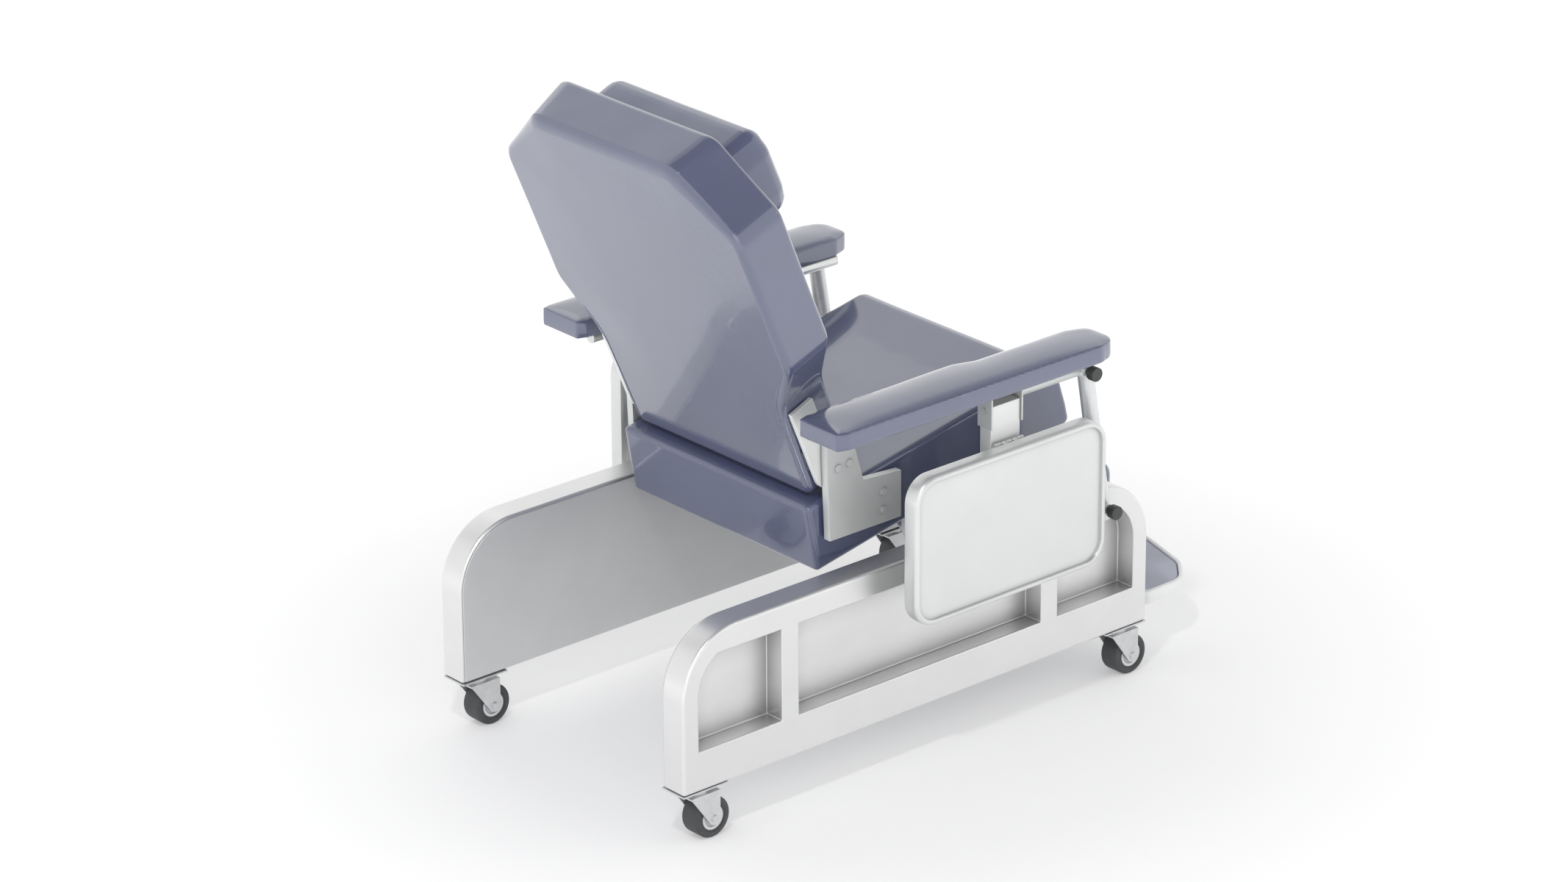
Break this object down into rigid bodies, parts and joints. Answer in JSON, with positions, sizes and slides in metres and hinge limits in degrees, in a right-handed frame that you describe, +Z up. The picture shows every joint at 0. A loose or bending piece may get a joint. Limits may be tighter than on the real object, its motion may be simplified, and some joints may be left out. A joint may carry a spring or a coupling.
{
  "type": "patient recliner chair",
  "caption": "Upholstered patient recliner on deep side panels with casters: reclining back, lifting leg rest with foot plate, drop armrests and fold-up side trays.",
  "frame": {"origin": "on the floor under the middle of the bounding box", "axes": "+Z up, the sitter faces -Y, the sitter's left is +X"},
  "size_m": [0.83, 1.3386, 1.2113],
  "materials": {
    "shell": "satin",
    "cover": "satin",
    "bracket_steel": "satin",
    "bar_white": "satin",
    "tube": "satin",
    "arm_board": "satin",
    "arm_vinyl": "coated upholstery, soft sheen",
    "seat_vinyl": "coated upholstery, soft sheen",
    "back_vinyl": "coated upholstery, soft sheen",
    "pillow_vinyl": "coated upholstery, soft sheen",
    "calf_vinyl": "coated upholstery, soft sheen",
    "tray": "satin",
    "knob": "matte",
    "caster_steel": "zinc plated",
    "hub": "matte",
    "tyre": "matte",
    "frame_steel": "satin",
    "board": "plain plywood",
    "foot_tray": "satin",
    "foot_pad": "matte, fine ribs"
  },
  "bodies": {
    "base": {"left_side_shell": "shell", "left_inner_cover": "cover", "left_seat_bracket": "bracket_steel", "left_arm_guide": "bracket_steel", "left_arm_lock": "bracket_steel", "left_front_caster_plate": "caster_steel", "left_rear_caster_plate": "caster_steel", "right_side_shell": "shell", "right_inner_cover": "cover", "right_seat_bracket": "bracket_steel", "right_arm_guide": "bracket_steel", "right_arm_lock": "bracket_steel", "right_front_caster_plate": "caster_steel", "right_rear_caster_plate": "caster_steel", "front_cross_tube": "frame_steel", "rear_cross_tube": "frame_steel", "seat_frame": "frame_steel", "leg_shaft": "frame_steel", "seat_cushion": "seat_vinyl"},
    "backrest": {"back_board": "board", "back_cushion": "back_vinyl", "head_pillow": "pillow_vinyl", "left_back_bar": "bar_white", "right_back_bar": "bar_white"},
    "leg_rest": {"leg_frame": "frame_steel", "calf_pad": "calf_vinyl"},
    "foot_plate": {"foot_tray": "foot_tray", "foot_pad": "foot_pad"},
    "left_arm": {"left_arm_pad": "arm_vinyl", "left_arm_board": "arm_board", "left_arm_bracket": "bracket_steel", "left_arm_bar": "bar_white", "left_arm_bend": "tube", "left_arm_post": "tube", "left_tray_hinge": "bracket_steel"},
    "left_side_tray": {"left_tray": "tray"},
    "left_upper_plunger": {"left_upper_knob": "knob"},
    "left_lower_plunger": {"left_lower_knob": "knob"},
    "left_front_caster": {"left_front_fork": "caster_steel"},
    "left_front_wheel": {"left_front_hub": "hub", "left_front_tyre": "tyre"},
    "left_rear_caster": {"left_rear_fork": "caster_steel"},
    "left_rear_wheel": {"left_rear_hub": "hub", "left_rear_tyre": "tyre"},
    "right_arm": {"right_arm_pad": "arm_vinyl", "right_arm_board": "arm_board", "right_arm_bracket": "bracket_steel", "right_arm_bar": "bar_white", "right_arm_bend": "tube", "right_arm_post": "tube", "right_tray_hinge": "bracket_steel"},
    "right_side_tray": {"right_tray": "tray"},
    "right_upper_plunger": {"right_upper_knob": "knob"},
    "right_lower_plunger": {"right_lower_knob": "knob"},
    "right_front_caster": {"right_front_fork": "caster_steel"},
    "right_front_wheel": {"right_front_hub": "hub", "right_front_tyre": "tyre"},
    "right_rear_caster": {"right_rear_fork": "caster_steel"},
    "right_rear_wheel": {"right_rear_hub": "hub", "right_rear_tyre": "tyre"}
  },
  "joints": [
    {"name": "back_recline", "type": "hinge", "parent": "base", "child": "backrest", "pos_m": [0, 0.272, 0.566], "axis": [-1, 0, 0], "range_deg": [0, 45]},
    {"name": "leg_rest_lift", "type": "hinge", "parent": "base", "child": "leg_rest", "pos_m": [0, -0.305, 0.445], "axis": [-1, 0, 0], "range_deg": [0, 80]},
    {"name": "foot_plate_fold", "type": "hinge", "parent": "leg_rest", "child": "foot_plate", "pos_m": [0, -0.452, 0.118], "axis": [-1, 0, 0], "range_deg": [0, 90]},
    {"name": "left_arm_drop", "type": "slide", "parent": "base", "child": "left_arm", "axis": [0, 0, -1], "range_m": [0, 0.15]},
    {"name": "left_tray_flip", "type": "hinge", "parent": "left_arm", "child": "left_side_tray", "pos_m": [0.3775, -0.039, 0.577], "axis": [0, -1, 0], "range_deg": [0, 90]},
    {"name": "left_upper_knob_pull", "type": "slide", "parent": "left_arm", "child": "left_upper_plunger", "axis": [1, 0, 0], "range_m": [0, 0.008], "stiffness_N_per_m": 500, "springref_m": -0.002},
    {"name": "left_lower_knob_pull", "type": "slide", "parent": "left_arm", "child": "left_lower_plunger", "axis": [1, 0, 0], "range_m": [0, 0.008], "stiffness_N_per_m": 500, "springref_m": -0.002},
    {"name": "left_front_swivel", "type": "hinge", "parent": "base", "child": "left_front_caster", "pos_m": [0.303, -0.38, 0.095], "axis": [0, 0, 1], "continuous": true},
    {"name": "left_front_roll", "type": "hinge", "parent": "left_front_caster", "child": "left_front_wheel", "pos_m": [0.303, -0.4025, 0.0381], "axis": [1, 0, 0], "continuous": true},
    {"name": "left_rear_swivel", "type": "hinge", "parent": "base", "child": "left_rear_caster", "pos_m": [0.303, 0.62, 0.095], "axis": [0, 0, 1], "continuous": true},
    {"name": "left_rear_roll", "type": "hinge", "parent": "left_rear_caster", "child": "left_rear_wheel", "pos_m": [0.303, 0.5975, 0.0381], "axis": [1, 0, 0], "continuous": true},
    {"name": "right_arm_drop", "type": "slide", "parent": "base", "child": "right_arm", "axis": [0, 0, -1], "range_m": [0, 0.15]},
    {"name": "right_tray_flip", "type": "hinge", "parent": "right_arm", "child": "right_side_tray", "pos_m": [-0.3775, -0.039, 0.577], "axis": [0, 1, 0], "range_deg": [0, 90]},
    {"name": "right_upper_knob_pull", "type": "slide", "parent": "right_arm", "child": "right_upper_plunger", "axis": [-1, 0, 0], "range_m": [0, 0.008], "stiffness_N_per_m": 500, "springref_m": -0.002},
    {"name": "right_lower_knob_pull", "type": "slide", "parent": "right_arm", "child": "right_lower_plunger", "axis": [-1, 0, 0], "range_m": [0, 0.008], "stiffness_N_per_m": 500, "springref_m": -0.002},
    {"name": "right_front_swivel", "type": "hinge", "parent": "base", "child": "right_front_caster", "pos_m": [-0.303, -0.38, 0.095], "axis": [0, 0, 1], "continuous": true},
    {"name": "right_front_roll", "type": "hinge", "parent": "right_front_caster", "child": "right_front_wheel", "pos_m": [-0.303, -0.4025, 0.0381], "axis": [1, 0, 0], "continuous": true},
    {"name": "right_rear_swivel", "type": "hinge", "parent": "base", "child": "right_rear_caster", "pos_m": [-0.303, 0.62, 0.095], "axis": [0, 0, 1], "continuous": true},
    {"name": "right_rear_roll", "type": "hinge", "parent": "right_rear_caster", "child": "right_rear_wheel", "pos_m": [-0.303, 0.5975, 0.0381], "axis": [1, 0, 0], "continuous": true}
  ],
  "couplings": [
    {"joint": "leg_rest_lift", "follows": "back_recline", "ratio": 1.7778}
  ]
}
